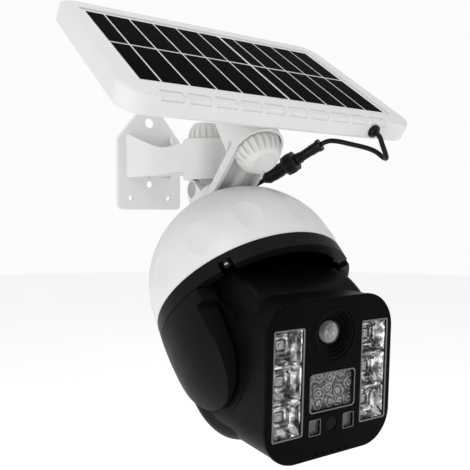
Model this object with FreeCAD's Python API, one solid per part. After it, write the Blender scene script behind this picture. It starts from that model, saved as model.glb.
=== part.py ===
import FreeCAD, Part
import math
import os

V = FreeCAD.Vector

# Solar security camera for a wall. Millimetres, +Z up, the wall behind at +Y.
# Origin: middle of the wall plate's back face, at the height of the bracket arm.

# Driving dimensions: wall bracket
PLATE_WIDTH = 65.0
PLATE_THICKNESS = 3.4
PLATE_BOTTOM = -39.0
PLATE_SHOULDER = 27.0
PLATE_TOP = 53.5
PLATE_TOP_WIDTH = 22.0
TOP_HOLE = 9.6
TOP_HOLE_Z = 42.8
MIDDLE_HOLE = 6.6
MIDDLE_HOLE_Z = -15.0
SCREW_HOLE = 4.8
SCREW_HOLE_X = 19.5
SCREW_HOLE_Z = -28.0
ARM_BOTTOM = -9.0
ARM_TOP = 13.4
ARM_HALF = 14.0
ARM_WALL = 2.6
ARM_FLOOR = 9.0
ARM_RIB_DEPTH = 5.0
ARM_ROOT_HALF = 24.0
ARM_ROOT_TOP = 31.0
ARM_FLARE = 42.0
ARM_SWEEP = 72.0
BARREL_Y = -106.0
BARREL_R = 17.5
BARREL_BOTTOM = -16.5
BARREL_TOP = 15.5

# Pan swivel under the barrel, and the tilt pivot below it
SWIVEL_BORE_R = 11.2
SWIVEL_BORE_TOP = -6.0
PAN_HEAD_TOP = -12.5
PAN_KNOB_BASE = BARREL_TOP + 0.2
RUNNING_GAP = 0.05
M6 = 3.0
M8 = 4.0
PIVOT_Y = -107.5
PIVOT_Z = -24.5
EAR_R = 7.6
EYE_HALF = 8.4
EAR_IN = 8.7
EAR_OUT = 13.2

# Dome: a sphere cut by the rim plane, on a leaning axis that points at the tilt pivot
DOME_Y = -166.0
DOME_Z = -94.6
DOME_R = 70.8
DOME_WALL = 3.0
DOME_LEAN = 41.1
SEAL_TOP = -10.1
RIM_TOP = -10.9
RIM_BOTTOM = -20.9
RIM_INNER_R = 63.6
RIM_SCREW_R = 64.6
RIM_SCREW_ANGLES = (45.0, 135.0, 225.0, 315.0)
RIM_OUTER_R = 70.9
CHASSIS_TOP = 19.5
CHASSIS_POST_R = 54.5
CHASSIS_POSTS = (90.0, 210.0, 330.0)
CELL_Z = 43.5
SADDLE_SCREWS = [(-13.2, -20.0), (13.2, -20.0), (-13.2, 18.0), (13.2, 18.0)]
INLET = V(26.0, -8.0, 65.4).normalize()
FLUTES = 12
FLUTE_START = 7.0
FLUTE_LATITUDE = 8.0
FLUTE_DEPTH = 1.4

# Paddle: the strut from the saddle on the dome out to the solar panel's clamp joint
CLAMP_Y = -178.1
CLAMP_Z = 0.9
PADDLE_RISE = 43.6
PADDLE_HALF = 17.5
PADDLE_DEPTH = 7.0
PADDLE_LENGTH = 50.0
RAIL_WIDTH = 3.0
FOOT_R = 19.9
FOOT_BASE = 7.6
SKIRT_INNER_R = 18.3
SKIRT_HALF_ANGLE = 88.0

# Solar panel
PANEL_Y = -156.5
PANEL_Z = 66.0
PANEL_TILT = 35.4
PANEL_LENGTH = 235.0
PANEL_NEAR = -77.0
PANEL_FAR = 74.0
PANEL_DEPTH = 14.0
PANEL_LIP = 0.8
PANEL_CORNER = 16.0
PANEL_WALL = 2.2
CELL_AREA = (200.0, 112.0)
LAMINATE = (208.0, 120.0)
LAMINATE_DEPTH = 1.4
CELL_DEPTH = 0.3
CELL_GAP = 1.0
CELL_COLUMNS = 11
END_CELL_SHARE = 0.72
POCKETS = 10
POCKET_START = -95.2
POCKET_END = 88.9
FLANGE = 4.0
FOOT_SCREWS = [(-23.0, -31.0), (23.0, -31.0), (-23.0, 17.0), (23.0, 17.0)]
BOLT_SEAT = 15.0
GLAND_U = 76.6
GLAND_N = -6.9

# Yoke and camera head
AXLE_DROP = 52.0
ARM_IN = 51.0
ARM_OUT = 57.0
ARM_HALF_Y = 19.0
TURNTABLE_BOTTOM = 9.0
TURNTABLE_TOP = 12.0
CHEEK_TOP = -21.5
CHEEK_IN = 51.0
CHEEK_HALF = 30.2
CHEEK_SHIFT = 3.6
CHEEK_END = 84.5
COLLAR_FRONT = -31.0
COLLAR_DROP = 9.5
CHEEK_BOSSES = [(-13.0, -38.0), (13.0, -38.0)]
HEAD_PITCH = 2.3
HEAD_HALF = 49.5
FACE_TOP = 42.1
FACE_BOTTOM = -54.9
FACE_FRONT = -57.5
FACE_THICKNESS = 3.0
FACE_CORNER = 22.0
BARREL_HEAD_R = 54.0
HEAD_SIDE = 47.0
HEAD_WALL = 2.5
HEAD_RIDGE = 49.6
LENS_Z = 19.9
LENS_RECESS_R = 16.3
WINDOW_IN = 22.6
WINDOW_OUT = 45.4
WINDOW_TOP = 25.6
WINDOW_BOTTOM = -38.9
CENTRE_WINDOW = (-18.2, 18.2, -26.6, -2.9)
SMALL_WINDOW = (8.8, 18.0, -40.2, -30.2)
SENSOR_Z = -35.0
SENSOR_R = 4.4
MIC_X = -32.5
MIC_Z = 31.1
REFLECTOR_DEPTH = 11.0
VENT_Z = -51.6
VENT_PITCH = 6.3

# Lead from the panel to the dome, in two lengths with a connector between them
LEAD_D = 3.6
CONNECTOR_R = 3.7
NUT_R = 7.3
CONNECTOR_TAIL = V(47.0, -192.0, 6.5)
CONNECTOR_END = V(25.5, -151.5, -18.0)
NUT_SHARE = (0.42, 0.62)
PANEL_LEAD = [V(76.6, -221.6, 11.3), V(77.7, -222.1, 6.8), V(78.2, -223.8, 2.2), V(79.9, -224.2, -2.1),
              V(83.6, -221.5, -4.5), V(84.8, -216.7, -3.0), V(82.6, -214.3, 0.3), V(77.8, -212.4, 2.8),
              V(71.4, -209.1, 4.8), V(62.6, -205.3, 6.6), V(55.4, -201.1, 8.5)]
CAMERA_LEAD = [V(23.7, -140.9, -21.4), V(30.3, -130.7, -19.5), V(32.3, -124.8, -19.2),
               V(32.8, -120.9, -22.6), V(32.1, -120.4, -27.3)]


def frame(origin, z_axis, x_axis=V(1, 0, 0)):
    """Placement of a local frame with the given Z axis, and X as near as it can be to the one given."""
    z = V(z_axis).normalize()
    x = (x_axis - z * x_axis.dot(z)).normalize()
    y = z.cross(x)
    return FreeCAD.Placement(FreeCAD.Matrix(
        x.x, y.x, z.x, origin.x,
        x.y, y.y, z.y, origin.y,
        x.z, y.z, z.z, origin.z,
        0, 0, 0, 1))


WORLD = FreeCAD.Placement()
POLE = V(0, math.sin(math.radians(DOME_LEAN)), math.cos(math.radians(DOME_LEAN)))
DOME = frame(V(0, DOME_Y, DOME_Z), POLE)
AXLE = DOME.multVec(V(0, 0, -AXLE_DROP))
HEAD = frame(AXLE, V(0, -math.sin(math.radians(HEAD_PITCH)), math.cos(math.radians(HEAD_PITCH))))
CLAMP = frame(V(0, CLAMP_Y, CLAMP_Z),
              V(0, math.sin(math.radians(PADDLE_RISE)), math.cos(math.radians(PADDLE_RISE))))
PANEL = frame(V(0, PANEL_Y, PANEL_Z),
              V(0, -math.sin(math.radians(PANEL_TILT)), math.cos(math.radians(PANEL_TILT))))
PAN_AXIS = FreeCAD.Placement(V(0, BARREL_Y, 0), FreeCAD.Rotation())
LENS_AXIS = FreeCAD.Placement(V(0, 0, LENS_Z), FreeCAD.Rotation(V(1, 0, 0), 90))


def save(name, shape, place=WORLD):
    """Write one sub-part; a list becomes one node of several solids."""
    if isinstance(shape, (list, tuple)):
        shape = Part.makeCompound(list(shape))
    placed = shape.copy()
    placed.Placement = place.multiply(placed.Placement)
    bad = [s for s in placed.Solids if not s.isValid()]
    if not placed.Solids or bad:
        print("WARNING", name, len(placed.Solids), "solids,", len(bad), "not valid")
    placed.exportStep(os.path.join("parts", name + ".step"))
    return placed


def cyl(r, z0, z1, x=0.0, y=0.0):
    return Part.makeCylinder(r, z1 - z0, V(x, y, z0))


def rod(r, start, end):
    """Cylinder between two points."""
    return Part.makeCylinder(r, (end - start).Length, start, end - start)


def ring(outer, inner, z0, z1):
    return cyl(outer, z0, z1).cut(cyl(inner, z0 - 1, z1 + 1))


def xrod(r, x0, x1, y=0.0, z=0.0):
    return Part.makeCylinder(r, x1 - x0, V(x0, y, z), V(1, 0, 0))


def yrod(r, y0, y1, x=0.0, z=0.0):
    return Part.makeCylinder(r, y1 - y0, V(x, y0, z), V(0, 1, 0))


def block(x0, x1, y0, y1, z0, z1):
    return Part.makeBox(x1 - x0, y1 - y0, z1 - z0, V(x0, y0, z0))


def prism(points, direction):
    """Extruded polygon."""
    return Part.Face(Part.makePolygon(points + [points[0]])).extrude(direction)


def turned(points):
    """Solid of revolution about Z from (radius, z) points."""
    outline = [V(r, 0, z) for r, z in points]
    return Part.Face(Part.makePolygon(outline + [outline[0]])).revolve(V(), V(0, 0, 1), 360)


def slab(x0, x1, y0, y1, z0, z1, corner):
    """Block with its four upright edges rounded."""
    b = block(x0, x1, y0, y1, z0, z1)
    upright = [e for e in b.Edges if abs(e.tangentAt(e.FirstParameter).z) > 0.99]
    return b.makeFillet(corner, upright)


def upright_slab(x0, x1, z0, z1, y0, y1, corner):
    """Block with its four edges along Y rounded."""
    b = block(x0, x1, y0, y1, z0, z1)
    along = [e for e in b.Edges if abs(e.tangentAt(e.FirstParameter).y) > 0.99]
    return b.makeFillet(corner, along)


def hexagon(flats, z0, z1, x=0.0, y=0.0):
    r = flats / 2.0 / math.cos(math.pi / 6)
    corners = [V(x + r * math.cos(math.radians(60 * i)), y + r * math.sin(math.radians(60 * i)), z0)
               for i in range(6)]
    return prism(corners, V(0, 0, z1 - z0))


def fuse(*shapes):
    return shapes[0].multiFuse(list(shapes[1:])).removeSplitter()


def cut(shape, *tools):
    return shape.cut(list(tools))


def round_edges(shape, radius, picked):
    """Fillet the picked edges, or leave the shape if the kernel can't."""
    edges = [e for e in shape.Edges if picked(e)]
    try:
        done = shape.makeFillet(radius, edges)
        if done.isValid():
            return done
    except Exception as error:
        print("fillet left out:", error)
    return shape


def moved(shape, place):
    m = shape.copy()
    m.Placement = place.multiply(m.Placement)
    return m


def turn_z(shape, angle):
    return moved(shape, FreeCAD.Placement(V(), FreeCAD.Rotation(V(0, 0, 1), angle)))


def pan_screw(r, length, head_r, head_h):
    """Screw along -Z with its head's underside at the origin."""
    head = round_edges(cyl(head_r, 0, head_h), head_h * 0.4,
                       lambda e: e.BoundBox.ZMin > head_h - 0.01)
    slot = head_r * 0.62
    arm = head_r * 0.14
    cross = fuse(block(-slot, slot, -arm, arm, head_h * 0.45, head_h + 1),
                 block(-arm, arm, -slot, slot, head_h * 0.45, head_h + 1))
    return fuse(head, cyl(r, -length, 0.01)).cut(cross)


def fluted_knob(base_r, top_r, height, flutes, bore_r, insert_r, insert_depth):
    """Clamp knob standing on Z = 0, ribbed all round, with a socket for its brass insert."""
    bulge = (base_r - top_r) * 0.62
    profile = Part.Wire([
        Part.LineSegment(V(0, 0, 0), V(base_r, 0, 0)).toShape(),
        Part.LineSegment(V(base_r, 0, 0), V(base_r, 0, height * 0.14)).toShape(),
        Part.Arc(V(base_r, 0, height * 0.14), V(top_r + bulge, 0, height * 0.68),
                 V(top_r, 0, height)).toShape(),
        Part.LineSegment(V(top_r, 0, height), V(0, 0, height)).toShape(),
        Part.LineSegment(V(0, 0, height), V(0, 0, 0)).toShape()])
    body = Part.Face(profile).revolve(V(), V(0, 0, 1), 360)
    groove_r = base_r * math.pi / flutes * 0.52
    low = V(base_r + groove_r * 0.45, 0, -1)
    high = V(top_r + bulge * 0.55 + groove_r * 0.35, 0, height + 0.5)
    groove = rod(groove_r, low, high)
    tools = [turn_z(groove, 360.0 / flutes * i) for i in range(flutes)]
    tools.append(cyl(bore_r, -1, height - 2.5))
    tools.append(cyl(insert_r, -1, insert_depth))
    tools.append(cyl(top_r * 0.86, height - 0.4, height + 1))
    return body.cut(tools)


def knob_insert(outer, bore, depth):
    """Knurled brass insert: a sixteen-sided sleeve."""
    sides = 16
    corners = [V(outer * math.cos(2 * math.pi * i / sides), outer * math.sin(2 * math.pi * i / sides), 0)
               for i in range(sides)]
    return prism(corners, V(0, 0, depth)).cut(cyl(bore, -1, depth + 1))


def hex_bolt(r, length, flats, head_h):
    """Bolt along +Z with its head below Z = 0."""
    return fuse(hexagon(flats, -head_h, 0), cyl(r, -0.01, length))


# ---------------------------------------------------------------- wall bracket

def wall_plate():
    half = PLATE_WIDTH / 2
    top_half = PLATE_TOP_WIDTH / 2
    outline = [V(-half, 0, PLATE_BOTTOM), V(half, 0, PLATE_BOTTOM), V(half, 0, PLATE_SHOULDER),
               V(top_half, 0, PLATE_TOP), V(-top_half, 0, PLATE_TOP), V(-half, 0, PLATE_SHOULDER)]
    plate = prism(outline, V(0, -PLATE_THICKNESS, 0))
    plate = round_edges(plate, 5.0, lambda e: abs(e.tangentAt(e.FirstParameter).y) > 0.99)
    plate = round_edges(plate, 1.2, lambda e: e.BoundBox.YMax < -PLATE_THICKNESS + 0.01)
    holes = [yrod(TOP_HOLE / 2, -9, 1, 0, TOP_HOLE_Z), yrod(MIDDLE_HOLE / 2, -9, 1, 0, MIDDLE_HOLE_Z)]
    holes += [yrod(SCREW_HOLE / 2, -9, 1, s * SCREW_HOLE_X, SCREW_HOLE_Z) for s in (-1, 1)]
    return plate.cut(holes)


def arm_plan(inset, end, flare_end):
    """The arm seen from above, wider toward the plate, drawn in by an inset."""
    half, root = ARM_HALF - inset, ARM_ROOT_HALF - inset
    back = -PLATE_THICKNESS
    wire = Part.Wire([
        Part.LineSegment(V(-half, end, 0), V(-half, flare_end, 0)).toShape(),
        Part.Arc(V(-half, flare_end, 0), V(-half - 2.2, flare_end * 0.45, 0), V(-root, back, 0)).toShape(),
        Part.LineSegment(V(-root, back, 0), V(root, back, 0)).toShape(),
        Part.Arc(V(root, back, 0), V(half + 2.2, flare_end * 0.45, 0), V(half, flare_end, 0)).toShape(),
        Part.LineSegment(V(half, flare_end, 0), V(half, end, 0)).toShape(),
        Part.LineSegment(V(half, end, 0), V(-half, end, 0)).toShape()])
    wire.translate(V(0, 0, -60))
    return Part.Face(wire).extrude(V(0, 0, 120))


def bracket_arm():
    """Arm with two swept side walls, a floor between them, and the pan joint's barrel at its end."""
    end = BARREL_Y + BARREL_R * 0.6
    flare_end = -PLATE_THICKNESS - ARM_FLARE
    sweep_end = -PLATE_THICKNESS - ARM_SWEEP
    back = -PLATE_THICKNESS
    side = Part.Wire([
        Part.LineSegment(V(-40, back, ARM_BOTTOM), V(-40, end, ARM_BOTTOM)).toShape(),
        Part.LineSegment(V(-40, end, ARM_BOTTOM), V(-40, end, ARM_TOP)).toShape(),
        Part.LineSegment(V(-40, end, ARM_TOP), V(-40, sweep_end, ARM_TOP)).toShape(),
        Part.Arc(V(-40, sweep_end, ARM_TOP), V(-40, sweep_end * 0.4, ARM_TOP + 6.0),
                 V(-40, back, ARM_ROOT_TOP)).toShape(),
        Part.LineSegment(V(-40, back, ARM_ROOT_TOP), V(-40, back, ARM_BOTTOM)).toShape()])
    arm = Part.Face(side).extrude(V(80, 0, 0)).common(arm_plan(0, end, flare_end))
    tray = arm_plan(ARM_WALL, end, flare_end).cut(block(-50, 50, -120, 20, -70, ARM_FLOOR))
    below = block(-50, 50, end, back - 3.0, -70, ARM_BOTTOM + ARM_RIB_DEPTH)
    under = arm_plan(ARM_WALL, end, flare_end).common(below).cut(block(-1.2, 1.2, -120, 0, -70, 70))
    barrel = round_edges(cyl(BARREL_R, BARREL_BOTTOM, BARREL_TOP, 0, BARREL_Y), 0.8, lambda e: True)
    body = fuse(arm.cut([tray, under]), barrel)
    return body.cut([cyl(SWIVEL_BORE_R, BARREL_BOTTOM - 1, SWIVEL_BORE_TOP, 0, BARREL_Y),
                     cyl(M6 + 0.3, BARREL_BOTTOM, BARREL_TOP + 1, 0, BARREL_Y)])


# ---------------------------------------------------------------- pan swivel

def swivel_knuckle():
    disc = cyl(SWIVEL_BORE_R - 0.08, BARREL_BOTTOM - 0.2, SWIVEL_BORE_TOP - 1.0, 0, BARREL_Y)
    eye = xrod(EAR_R, -EYE_HALF, EYE_HALF, PIVOT_Y, PIVOT_Z)
    web = block(-EYE_HALF, EYE_HALF, PIVOT_Y - EAR_R + 1.2, BARREL_Y + 7.5, PIVOT_Z, BARREL_BOTTOM - 0.1)
    heel = prism([V(-EYE_HALF, PIVOT_Y, PIVOT_Z - EAR_R), V(-EYE_HALF, PIVOT_Y, PIVOT_Z),
                  V(-EYE_HALF, BARREL_Y + 7.5, PIVOT_Z)], V(2 * EYE_HALF, 0, 0))
    body = fuse(disc, eye, web, heel)
    return cut(body,
               xrod(M6 + RUNNING_GAP, -EYE_HALF - 1, EYE_HALF + 1, PIVOT_Y, PIVOT_Z),
               cyl(M6 + 0.2, BARREL_BOTTOM - 20, 0, 0, BARREL_Y),
               hexagon(10.2, PIVOT_Z - 12, PAN_HEAD_TOP, 0, BARREL_Y))


def swivel_parts():
    save("swivel_knuckle", swivel_knuckle())
    seat = FreeCAD.Placement(V(0, 0, PAN_HEAD_TOP), FreeCAD.Rotation())
    save("pan_bolt", moved(hex_bolt(M6, 38.0, 10.0, 4.0), seat), PAN_AXIS)
    save("pan_washer", ring(SWIVEL_BORE_R - 0.3, M6 + 0.4, SWIVEL_BORE_TOP - 1.0, SWIVEL_BORE_TOP), PAN_AXIS)
    on_top = FreeCAD.Placement(V(0, BARREL_Y, PAN_KNOB_BASE), FreeCAD.Rotation())
    save("pan_knob", fluted_knob(13.4, 8.6, 12.8, 16, M6 + 0.4, 5.4, 9.0), on_top)
    save("pan_knob_insert", knob_insert(5.35, M6 + RUNNING_GAP, 8.9), on_top)


# ---------------------------------------------------------------- tilt bracket

def tilt_bracket():
    pivot = V(0, PIVOT_Y, PIVOT_Z)
    top = DOME.multVec(V(0, 0, DOME_R))
    down = (top - pivot).normalize()
    across = V(1, 0, 0).cross(down)
    along = DOME.Rotation.multVec(V(0, 1, 0))
    ears = xrod(EAR_R, -EAR_OUT, EAR_OUT, PIVOT_Y, PIVOT_Z)
    neck = prism([p + V(-EAR_OUT, 0, 0) for p in (
        pivot + across * EAR_R, pivot - across * EAR_R,
        top - along * 15 - POLE * 5, top + along * 15 - POLE * 5)], V(2 * EAR_OUT, 0, 0))
    saddle = moved(slab(-PADDLE_HALF, PADDLE_HALF, -26, 24, 55, 75, 8), DOME)
    paddle = cut(fuse(cyl(PADDLE_HALF, 0, PADDLE_DEPTH),
                      block(-PADDLE_HALF, PADDLE_HALF, 0, PADDLE_LENGTH, 0, PADDLE_DEPTH)),
                 tray_gap(-1), tray_gap(1), cyl(M8 + RUNNING_GAP, -1, PADDLE_DEPTH + 1))
    body = fuse(ears, neck, saddle, moved(paddle, CLAMP))
    slot = block(-EAR_IN, EAR_IN, PIVOT_Y - 24, PIVOT_Y + 30, PIVOT_Z - EAR_R - 1.2, PIVOT_Z + 20)
    dome_cut = moved(Part.makeSphere(DOME_R + 0.05), DOME)
    body = cut(body, slot, dome_cut,
               xrod(M6 + 0.1, -EAR_OUT - 1, EAR_OUT + 1, PIVOT_Y, PIVOT_Z),
               xrod(6.4, -EAR_OUT - 1, -EAR_OUT + 2.6, PIVOT_Y, PIVOT_Z),
               moved(cyl(6.5, 40, 74), DOME),
               moved(hexagon(10.1, 0, 2.7),
                     frame(V(EAR_OUT + 0.1, PIVOT_Y, PIVOT_Z), V(-1, 0, 0), V(0, 1, 0))))
    holes = [moved(cyl(1.9, 50, 80, x, y), DOME) for x, y in SADDLE_SCREWS]
    wells = [moved(cyl(3.6, 73, 95, x, y), DOME) for x, y in SADDLE_SCREWS]
    body = body.cut(holes + wells)
    return max(body.Solids, key=lambda s: s.Volume)


def tray_gap(side):
    """Open pocket in the paddle's underside, between its edge rail and its middle rib."""
    near = 2.1
    far = PADDLE_HALF - RAIL_WIDTH
    x0, x1 = sorted((side * near, side * far))
    return block(x0, x1, 9.5, PADDLE_LENGTH + 1, -1, PADDLE_DEPTH - 1.8).cut(cyl(14.5, -2, PADDLE_DEPTH))


def tilt_parts():
    save("tilt_bracket", tilt_bracket())
    axis = frame(V(-EAR_OUT + 2.6, PIVOT_Y, PIVOT_Z), V(1, 0, 0), V(0, 1, 0))
    head = round_edges(cyl(6.2, -2.4, 0), 0.5, lambda e: e.BoundBox.ZMax < -2.3)
    nut = hexagon(10.0, 2 * EAR_OUT - 5.1, 2 * EAR_OUT - 2.7).cut(cyl(M6 + 0.02, 0, 40))
    save("tilt_bolt_and_nut", [fuse(head, cyl(M6, -0.01, 2 * EAR_OUT - 2.8)), nut], axis)
    screw = pan_screw(1.7, 9.0, 3.2, 1.9)
    save("saddle_screws", [moved(screw, FreeCAD.Placement(V(x, y, 73.0), FreeCAD.Rotation()))
                           for x, y in SADDLE_SCREWS], DOME)


# ---------------------------------------------------------------- dome

def around(radius, angle):
    """Point on a circle about the local Z axis."""
    a = math.radians(angle)
    return radius * math.cos(a), radius * math.sin(a)


def flute_tool(angle):
    """Cone lying against the dome from outside, which cuts one shallow dished flute."""
    lat = math.radians(FLUTE_LATITUDE)
    radial = V(math.cos(lat), 0, math.sin(lat))
    upward = V(-math.sin(lat), 0, math.cos(lat))
    reach, low_r, spread = 14.0, 22.0, math.radians(40)
    axis = upward * math.cos(spread) + radial * math.sin(spread)
    out = radial * math.cos(spread) - upward * math.sin(spread)
    start = radial * (DOME_R - FLUTE_DEPTH) - upward * reach + out * low_r
    high_r = low_r + 2 * reach * math.sin(spread)
    return turn_z(Part.makeCone(low_r, high_r, 2 * reach * math.cos(spread), start, axis), angle)


def dome_shell():
    above = block(-99, 99, -99, 99, SEAL_TOP, 99)
    outer = Part.makeSphere(DOME_R).common(above)
    inner = Part.makeSphere(DOME_R - DOME_WALL)
    shell = outer.cut(inner)
    bosses = [cyl(3.4, SEAL_TOP, 8, *around(RIM_SCREW_R, a)).common(outer) for a in RIM_SCREW_ANGLES]
    bosses += [cyl(3.0, CHASSIS_TOP, 48, *around(CHASSIS_POST_R, a)).common(outer) for a in CHASSIS_POSTS]
    shell = shell.multiFuse(bosses)
    tools = [flute_tool(360.0 / FLUTES * i + FLUTE_START) for i in range(FLUTES)]
    tools += [cyl(1.75, 40, 90, x, y) for x, y in SADDLE_SCREWS]
    tools += [cyl(1.2, SEAL_TOP - 5, 5, *around(RIM_SCREW_R, a)) for a in RIM_SCREW_ANGLES]
    tools += [cyl(1.2, CHASSIS_TOP - 1, CHASSIS_TOP + 8, *around(CHASSIS_POST_R, a)) for a in CHASSIS_POSTS]
    tools.append(rod(3.2, INLET * 60, INLET * 80))
    return shell.cut(tools)


def rim_ring():
    profile = [(RIM_INNER_R, RIM_BOTTOM), (RIM_OUTER_R, RIM_BOTTOM), (RIM_OUTER_R - 0.3, RIM_TOP + 0.6),
               (RIM_OUTER_R - 0.9, RIM_TOP), (RIM_INNER_R, RIM_TOP)]
    body = turned(profile)
    tools = []
    for angle in RIM_SCREW_ANGLES:
        notch = slab(RIM_SCREW_R - 4.4, RIM_OUTER_R + 4, -4.4, 4.4, RIM_BOTTOM - 1, RIM_BOTTOM + 6.4, 1.2)
        tools.append(turn_z(notch, angle))
        tools.append(cyl(1.7, RIM_BOTTOM, RIM_TOP + 1, *around(RIM_SCREW_R, angle)))
    return body.cut(tools)


def ring_screws():
    upside_down = FreeCAD.Rotation(V(1, 0, 0), 180)
    screw = pan_screw(1.15, 9.0, 2.9, 1.8)
    seat = RIM_BOTTOM + 6.4
    return [moved(screw, FreeCAD.Placement(V(*around(RIM_SCREW_R, a), seat), upside_down))
            for a in RIM_SCREW_ANGLES]


def inlet_gland():
    flange = rod(6.4, INLET * (DOME_R - 0.3), INLET * (DOME_R + 2.2))
    nose = Part.makeCone(4.6, 2.9, 10.0, INLET * (DOME_R + 2.2), INLET)
    stem = rod(3.15, INLET * (DOME_R - DOME_WALL - 1.5), INLET * DOME_R)
    lip = rod(4.6, INLET * (DOME_R - DOME_WALL - 3.5), INLET * (DOME_R - DOME_WALL - 0.3))
    body = fuse(flange, nose, stem, lip).cut(rod(LEAD_D / 2, INLET * 50, INLET * 99))
    return body.cut(Part.makeSphere(DOME_R + 0.02).cut(Part.makeSphere(DOME_R - DOME_WALL - 0.02)).cut(
        rod(3.15, INLET * 50, INLET * 99)))


def dome_parts():
    save("dome_shell", dome_shell(), DOME)
    save("dome_seal", ring(66.4, RIM_INNER_R + 0.2, RIM_TOP, SEAL_TOP).cut(
        [cyl(1.7, RIM_TOP - 1, SEAL_TOP + 1, *around(RIM_SCREW_R, a)) for a in RIM_SCREW_ANGLES]), DOME)
    save("rim_ring", rim_ring(), DOME)
    save("ring_screws", ring_screws(), DOME)
    save("dome_inlet_gland", inlet_gland(), DOME)
    holes = [cyl(1.5, 0, 99, *around(CHASSIS_POST_R, a)) for a in CHASSIS_POSTS]
    plate = cyl(59.0, CHASSIS_TOP - 2.5, CHASSIS_TOP).cut(holes + [cyl(6.2, 0, 99)])
    save("dome_chassis", plate, DOME)
    motor = fuse(cyl(14.0, CHASSIS_TOP, CHASSIS_TOP + 12.0), cyl(6.0, CHASSIS_TOP - 2.5, CHASSIS_TOP + 0.1),
                 slab(-18, 18, -4, 4, CHASSIS_TOP, CHASSIS_TOP + 1, 3.5))
    save("pan_motor", motor.cut(cyl(2.55, 0, CHASSIS_TOP + 6)), DOME)
    save("pan_shaft", cyl(2.5, TURNTABLE_BOTTOM + 0.2, CHASSIS_TOP + 5.8), DOME)
    save("pan_bearing", ring(30.0, 22.0, TURNTABLE_TOP, CHASSIS_TOP - 2.5), DOME)
    board = ring(49.0, 16.5, CHASSIS_TOP + 3.0, CHASSIS_TOP + 4.6)
    chips = [block(x, x + w, y, y + d, CHASSIS_TOP + 4.5, CHASSIS_TOP + 4.6 + h)
             for x, y, w, d, h in ((22, -8, 14, 14, 1.6), (-38, -6, 12, 10, 1.4), (-8, 24, 16, 12, 3.0),
                                   (-6, -38, 18, 13, 2.2), (22, 16, 9, 7, 4.0), (-32, 14, 8, 8, 1.2))]
    standoffs = [cyl(2.4, CHASSIS_TOP, CHASSIS_TOP + 3.1, *around(44, a)) for a in (45, 135, 225, 315)]
    save("main_board", fuse(board, *chips, *standoffs), DOME)
    cells = [rod(9.1, V(x, -32.5, CELL_Z), V(x, 32.5, CELL_Z)) for x in (-19.2, 0, 19.2)]
    save("battery_cells", cells, DOME)
    tray = block(-29.5, 29.5, -34.5, 34.5, CHASSIS_TOP + 12.5, CELL_Z - 3)
    feet = [cyl(2.6, CHASSIS_TOP + 4.6, CHASSIS_TOP + 12.6, *around(38, a)) for a in (50, 130, 230, 310)]
    grooves = [rod(9.2, V(x, -32.7, CELL_Z), V(x, 32.7, CELL_Z)) for x in (-19.2, 0, 19.2)]
    save("battery_holder", fuse(tray, *feet).cut(grooves), DOME)


# ---------------------------------------------------------------- yoke

def tongue(half, centre_y, end, x0, x1, top):
    """Strap with a round lower end, standing on its top line and lying across X."""
    round_z = -(end - half)
    strap = block(x0, x1, centre_y - half, centre_y + half, round_z, top)
    return strap.fuse(xrod(half, x0, x1, centre_y, round_z))


def cheek_envelope(inset):
    """Body of revolution that the cheeks' outer faces lie on."""
    rows = [(70.9, CHEEK_TOP), (70.6, -32.0), (69.6, -45.0), (68.3, -55.0), (65.8, -65.0), (61.0, -75.0),
            (52.0, -86.0)]
    spline = Part.BSplineCurve()
    spline.interpolate([V(r - inset, 0, z) for r, z in rows])
    top = V(0, 0, CHEEK_TOP)
    low = V(0, 0, -86.0)
    outline = Part.Wire([Part.LineSegment(top, V(70.9 - inset, 0, CHEEK_TOP)).toShape(), spline.toShape(),
                         Part.LineSegment(V(52.0 - inset, 0, -86.0), low).toShape(),
                         Part.LineSegment(low, top).toShape()])
    return Part.Face(outline).revolve(V(), V(0, 0, 1), 360)


def cheek_cover():
    """Right-hand cheek: a hollow tongue, open toward the head."""
    outer = tongue(CHEEK_HALF, CHEEK_SHIFT, CHEEK_END, CHEEK_IN, 75, CHEEK_TOP).common(cheek_envelope(0))
    hollow = tongue(CHEEK_HALF - 2.4, CHEEK_SHIFT, CHEEK_END - 2.4, CHEEK_IN - 1, 75, CHEEK_TOP - 2.4)
    hollow = hollow.common(cheek_envelope(2.6))
    passage = block(ARM_IN + 1.2, ARM_OUT + 0.3, -ARM_HALF_Y - 0.3, ARM_HALF_Y + 0.3,
                    CHEEK_TOP - 5, CHEEK_TOP + 1)
    body = outer.cut([hollow, passage])
    bosses = [xrod(2.6, ARM_OUT, 62.0, y, z).cut(xrod(1.2, ARM_OUT - 1, 61, y, z)) for y, z in CHEEK_BOSSES]
    collar = block(CHEEK_IN, 75, COLLAR_FRONT, -20.0, CHEEK_TOP - COLLAR_DROP, CHEEK_TOP)
    return fuse(body, collar.common(cheek_envelope(0)), *[b.common(cheek_envelope(1.0)) for b in bosses])


def cheek_liner():
    """Flat inner plate that closes a cheek on the head's side."""
    plate = tongue(CHEEK_HALF - 2.6, CHEEK_SHIFT, CHEEK_END - 2.6, CHEEK_IN, CHEEK_IN + 1.1, CHEEK_TOP - 2.7)
    collar = block(CHEEK_IN - 1, 76, COLLAR_FRONT - 1, -19.8, CHEEK_TOP - COLLAR_DROP - 0.2, CHEEK_TOP)
    return plate.cut([collar, xrod(12.4, CHEEK_IN - 1, CHEEK_IN + 2, 0, -AXLE_DROP)])


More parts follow.
